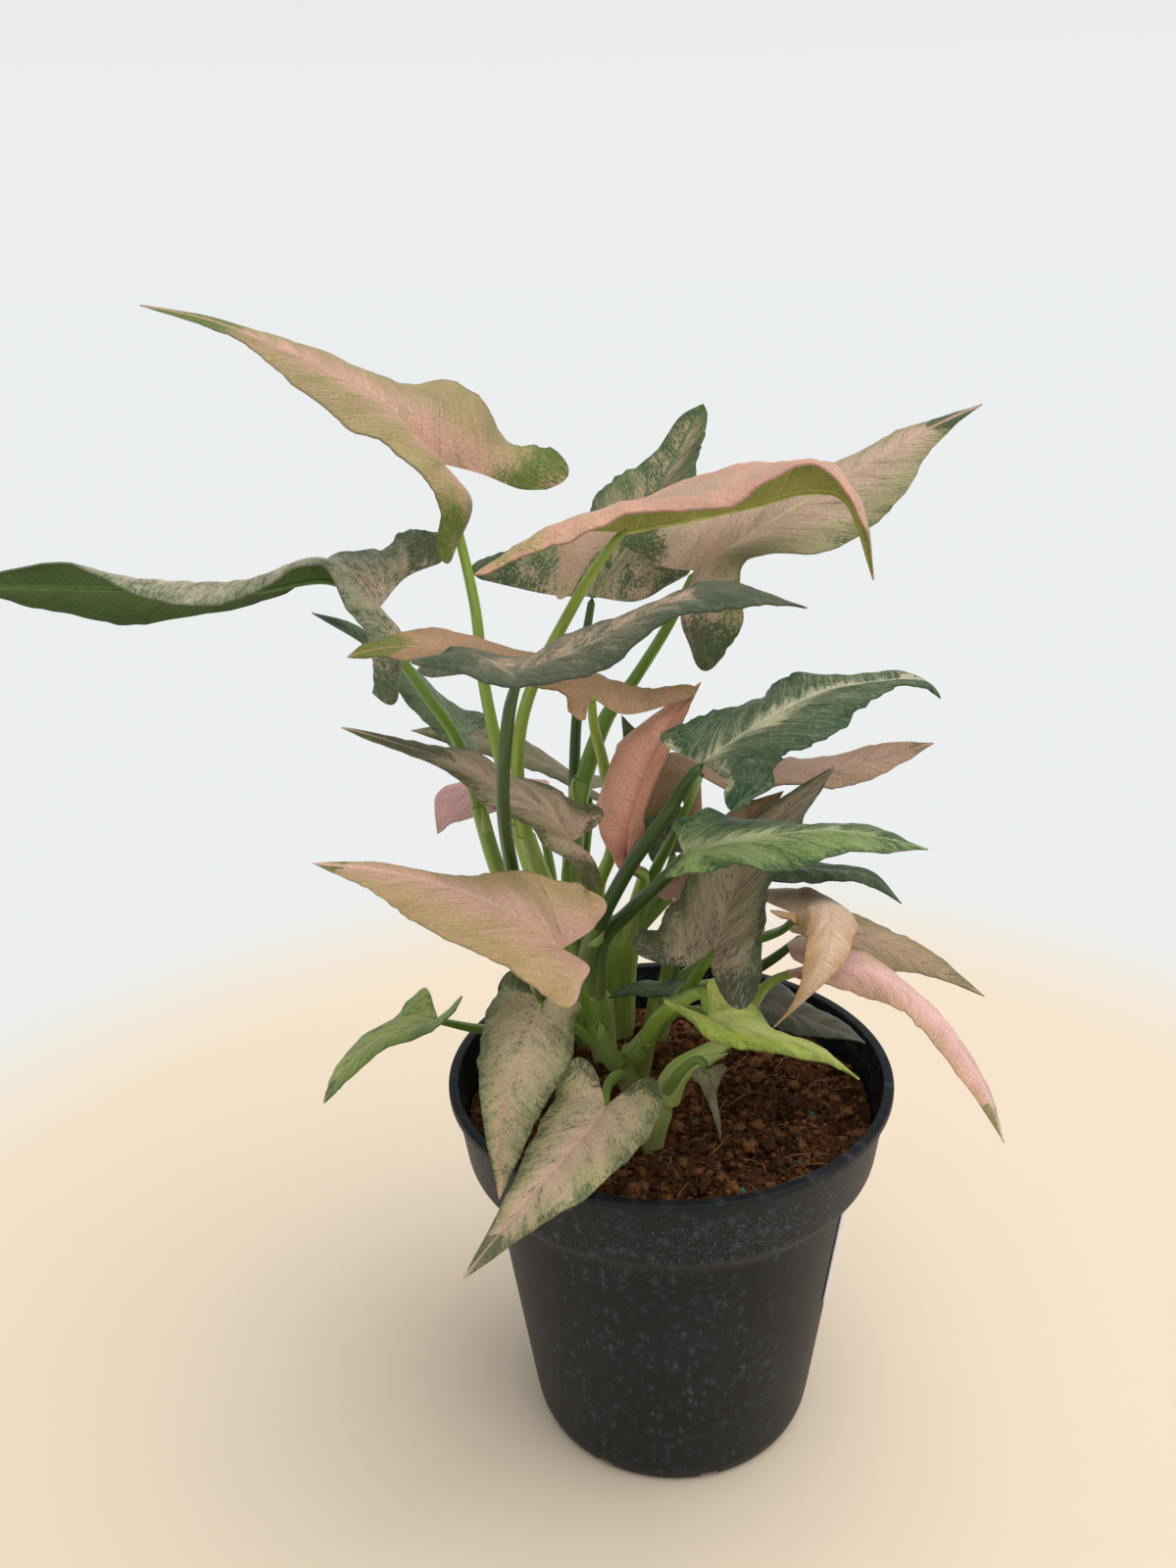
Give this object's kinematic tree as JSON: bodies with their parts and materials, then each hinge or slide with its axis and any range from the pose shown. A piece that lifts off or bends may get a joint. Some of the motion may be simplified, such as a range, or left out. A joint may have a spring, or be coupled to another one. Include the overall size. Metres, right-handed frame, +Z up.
{
  "type": "potted arrowhead plant",
  "caption": "Arrowhead plant with pink, tan and green arrow-shaped leaves on long stalks, growing in a round black nursery pot.",
  "frame": {"origin": "middle of the pot's foot, on the surface it stands on", "axes": "+Z up along the pot's axis, -Y towards the viewer of the picture, +X to the viewer's right"},
  "size_m": [0.2652, 0.1637, 0.3343],
  "materials": {
    "pot": "matte, faint grey vertical scuffs",
    "label": "blank, satin",
    "soil": "coarse fibrous coco peat, matt",
    "stalk": "green, smooth, slightly glossy",
    "stub": "pale yellow-green, dry",
    "leaf_pink": "pink with green flecks at the margins",
    "leaf_salmon": "salmon above, yellow-green below",
    "leaf_rose": "rose pink",
    "leaf_tan": "tan to orange-brown",
    "leaf_mauve": "mauve-brown with a pink rib",
    "leaf_cream": "cream and green mottle with a pink rib",
    "leaf_slate": "grey-green",
    "leaf_green": "deep green with a cream rib",
    "leaf_lime": "yellow-green",
    "leaf_withered": "dry, grey-olive"
  },
  "bodies": {
    "root": {"blade_back_upright": "leaf_slate", "blade_bent_orange": "leaf_tan", "blade_blush_back": "leaf_rose", "blade_brown_hanging": "leaf_mauve", "blade_curled_pink": "leaf_salmon", "blade_dark_on_soil": "leaf_slate", "blade_dark_sliver": "leaf_slate", "blade_dark_small": "leaf_green", "blade_far_left": "leaf_slate", "blade_green_far_left": "leaf_lime", "blade_green_lower": "leaf_green", "blade_green_upper": "leaf_green", "blade_grey_left": "leaf_mauve", "blade_grey_right": "leaf_mauve", "blade_hang_front": "leaf_cream", "blade_hang_left": "leaf_cream", "blade_lime": "leaf_lime", "blade_near_grey": "leaf_slate", "blade_olive_left": "leaf_mauve", "blade_peach_behind": "leaf_salmon", "blade_peach_left": "leaf_pink", "blade_pink_arrow": "leaf_salmon", "blade_pink_drooping": "leaf_rose", "blade_right_pink": "leaf_pink", "blade_rose_right": "leaf_rose", "blade_rust_left": "leaf_tan", "blade_slate_behind": "leaf_slate", "blade_slate_left": "leaf_slate", "blade_top_pink": "leaf_pink", "blade_unfurling": "leaf_rose", "blade_withered": "leaf_withered", "dead_stalk": "stub", "label": "label", "old_stub": "stub", "pot": "pot", "shoot_back": "stalk", "shoot_dark": "stalk", "shoot_front": "stalk", "shoot_left": "stalk", "shoot_main": "stalk", "shoot_middle": "stalk", "shoot_right": "stalk", "soil": "soil"}
  },
  "joints": []
}
